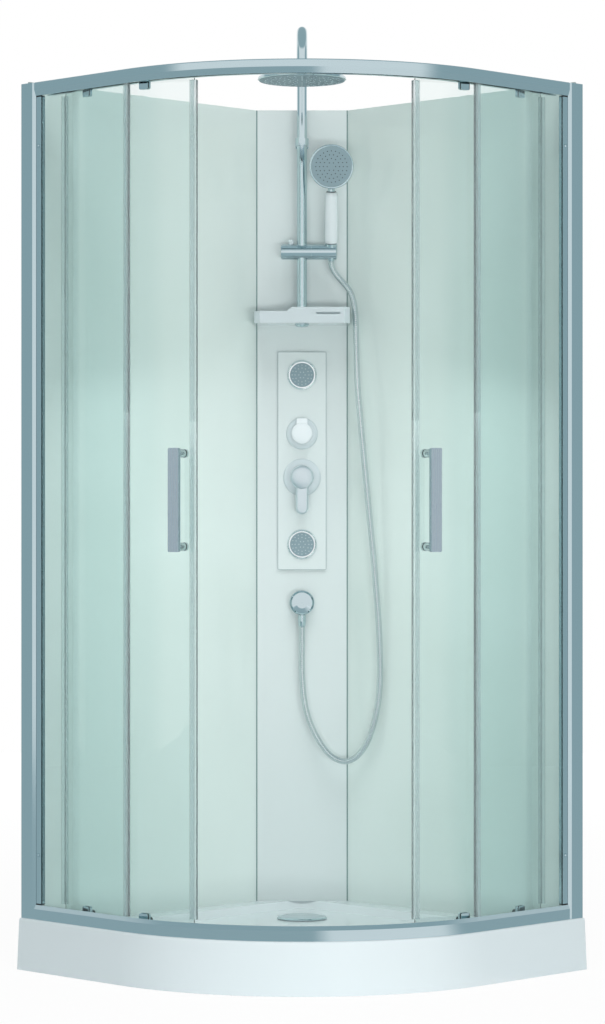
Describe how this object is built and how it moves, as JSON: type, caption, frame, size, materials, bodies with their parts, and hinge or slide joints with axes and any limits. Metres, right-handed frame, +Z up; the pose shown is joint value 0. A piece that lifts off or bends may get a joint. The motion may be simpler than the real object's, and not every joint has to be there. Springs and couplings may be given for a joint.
{
  "type": "shower cabin",
  "caption": "Quarter-round shower cabin with low curved tray, curved sliding glass doors, wall panels and a corner column with overhead shower, hand shower and body jets.",
  "frame": {"origin": "middle of the footprint, on the floor under the feet", "axes": "+Z up; the doors face -Y and the room corner is at +Y; +X is to the right as seen from in front of the doors"},
  "size_m": [1.2724, 1.0448, 2.13],
  "materials": {
    "white_acrylic": "gloss",
    "galvanised_steel": "satin",
    "waste_plastic": "satin",
    "chrome": "polished",
    "wall_glass": "painted at the back",
    "clear_glass": "clear",
    "white_panel": "gloss",
    "dark_trim": "satin",
    "satin_aluminium": "satin anodised",
    "black_plastic": "satin",
    "seal": "translucent grey",
    "jet_rubber": "satin",
    "white_plastic": "gloss",
    "handset_chrome": "polished",
    "brass": "raw",
    "copper_pipe": "raw",
    "hose_steel": "fine ribs"
  },
  "bodies": {
    "cabin": {"shower_tray": "white_acrylic", "tray_frame": "galvanised_steel", "adjustable_feet": "galvanised_steel", "drain_trap": "waste_plastic", "left_wall_panel": "wall_glass", "right_wall_panel": "wall_glass", "column_panel": "white_panel", "column_trims": "dark_trim", "left_upright": "satin_aluminium", "right_upright": "satin_aluminium", "glass_profiles": "satin_aluminium", "rail_end_blocks": "black_plastic", "profile_screws": "chrome", "top_rail": "satin_aluminium", "bottom_rail": "satin_aluminium", "left_fixed_glass": "clear_glass", "right_fixed_glass": "clear_glass", "fixed_glass_strips": "seal", "control_plate": "white_panel", "jet_rings": "chrome", "diverter_base": "white_plastic", "mixer_plate": "white_plastic", "mixer_body": "brass", "supply_pipes": "copper_pipe", "outlet_elbow": "chrome", "riser_pipe": "chrome", "riser_bracket": "chrome", "riser_base": "chrome", "shelf": "white_plastic", "shower_hose": "hose_steel", "hose_lower_nut": "chrome"},
    "left_door": {"left_door_glass": "clear_glass", "left_door_strips": "seal", "left_handle": "satin_aluminium", "left_roller_blocks": "chrome", "left_guide_shoes": "black_plastic"},
    "left_front_wheel": {"left_front_wheel": "black_plastic"},
    "left_rear_wheel": {"left_rear_wheel": "black_plastic"},
    "right_door": {"right_door_glass": "clear_glass", "right_door_strips": "seal", "right_handle": "satin_aluminium", "right_roller_blocks": "chrome", "right_guide_shoes": "black_plastic"},
    "right_front_wheel": {"right_front_wheel": "black_plastic"},
    "right_rear_wheel": {"right_rear_wheel": "black_plastic"},
    "drain_cover": {"drain_cover": "chrome"},
    "upper_jet": {"upper_jet": "jet_rubber"},
    "lower_jet": {"lower_jet": "jet_rubber"},
    "diverter_knob": {"diverter_knob": "white_plastic"},
    "mixer_stem": {"mixer_stem": "handset_chrome"},
    "mixer_lever": {"mixer_lever": "white_plastic"},
    "overhead_ball": {"overhead_ball": "chrome"},
    "overhead_shower": {"overhead_shower": "chrome", "overhead_nozzles": "jet_rubber"},
    "slider": {"slider_body": "chrome"},
    "slider_button": {"slider_button": "white_plastic"},
    "holder": {"handset_holder": "chrome"},
    "handset": {"handset": "handset_chrome", "handset_face": "jet_rubber", "hose_upper_nut": "chrome"}
  },
  "joints": [
    {"name": "left_door_slide", "type": "hinge", "parent": "cabin", "child": "left_door", "pos_m": [0.09965, 0.21032, 1.0475], "axis": [0, 0, -1], "range_deg": [-19.4, 1.6]},
    {"name": "left_front_wheel_spin", "type": "hinge", "parent": "left_door", "child": "left_front_wheel", "pos_m": [-0.33107, -0.33871, 1.9656], "axis": [-0.5587, -0.8294, 0], "continuous": true},
    {"name": "left_rear_wheel_spin", "type": "hinge", "parent": "left_door", "child": "left_rear_wheel", "pos_m": [-0.4574, -0.21565, 1.9656], "axis": [-0.8144, -0.5802, 0], "continuous": true},
    {"name": "right_door_slide", "type": "hinge", "parent": "cabin", "child": "right_door", "pos_m": [-0.09965, 0.21032, 1.0475], "axis": [0, 0, 1], "range_deg": [-20.5, 0.5]},
    {"name": "right_front_wheel_spin", "type": "hinge", "parent": "right_door", "child": "right_front_wheel", "pos_m": [0.34153, -0.33034, 1.9656], "axis": [0.5745, -0.8185, 0], "continuous": true},
    {"name": "right_rear_wheel_spin", "type": "hinge", "parent": "right_door", "child": "right_rear_wheel", "pos_m": [0.46547, -0.20488, 1.9656], "axis": [0.8254, -0.5645, 0], "continuous": true},
    {"name": "drain_cover_lift", "type": "slide", "parent": "cabin", "child": "drain_cover", "axis": [0, 0, 1], "range_m": [0, 0.08]},
    {"name": "upper_jet_tilt", "type": "hinge", "parent": "cabin", "child": "upper_jet", "pos_m": [0, 0.39649, 1.351], "axis": [1, 0, 0], "range_deg": [-15, 15]},
    {"name": "lower_jet_tilt", "type": "hinge", "parent": "cabin", "child": "lower_jet", "pos_m": [0, 0.39649, 0.946], "axis": [1, 0, 0], "range_deg": [-15, 15]},
    {"name": "diverter_turn", "type": "hinge", "parent": "cabin", "child": "diverter_knob", "pos_m": [0, 0.37449, 1.211], "axis": [0, -1, 0], "range_deg": [-90, 90]},
    {"name": "mixer_turn", "type": "hinge", "parent": "cabin", "child": "mixer_stem", "pos_m": [0, 0.38449, 1.106], "axis": [0, -1, 0], "range_deg": [-45, 45]},
    {"name": "mixer_lift", "type": "hinge", "parent": "mixer_stem", "child": "mixer_lever", "pos_m": [0, 0.36449, 1.106], "axis": [-1, 0, 0], "range_deg": [0, 25]},
    {"name": "overhead_turn", "type": "hinge", "parent": "cabin", "child": "overhead_ball", "pos_m": [0, -0.01951, 2.038], "axis": [0, 0, 1], "range_deg": [-180, 180]},
    {"name": "overhead_tilt", "type": "hinge", "parent": "overhead_ball", "child": "overhead_shower", "pos_m": [0, -0.01951, 2.024], "axis": [1, 0, 0], "range_deg": [-15, 15]},
    {"name": "slider_slide", "type": "slide", "parent": "cabin", "child": "slider", "axis": [0, 0, 1], "range_m": [-0.06, 0.2], "deforming": ["shower_hose"]},
    {"name": "slider_button_press", "type": "slide", "parent": "slider", "child": "slider_button", "axis": [0, 0, -1], "range_m": [0, 0.0025], "stiffness_N_per_m": 400, "springref_m": -0.002},
    {"name": "holder_tilt", "type": "hinge", "parent": "slider", "child": "holder", "pos_m": [0.0695, 0.35549, 1.642], "axis": [1, 0, 0], "range_deg": [-8, 25], "deforming": ["shower_hose"]},
    {"name": "handset_lift", "type": "slide", "parent": "holder", "child": "handset", "axis": [0, -0.2079, 0.9781], "range_m": [0, 0.08], "deforming": ["shower_hose"]}
  ],
  "couplings": [
    {"joint": "left_front_wheel_spin", "follows": "left_door_slide", "ratio": 69.599},
    {"joint": "left_rear_wheel_spin", "follows": "left_door_slide", "ratio": 70.085},
    {"joint": "right_front_wheel_spin", "follows": "right_door_slide", "ratio": -69.599},
    {"joint": "right_rear_wheel_spin", "follows": "right_door_slide", "ratio": -70.085}
  ]
}
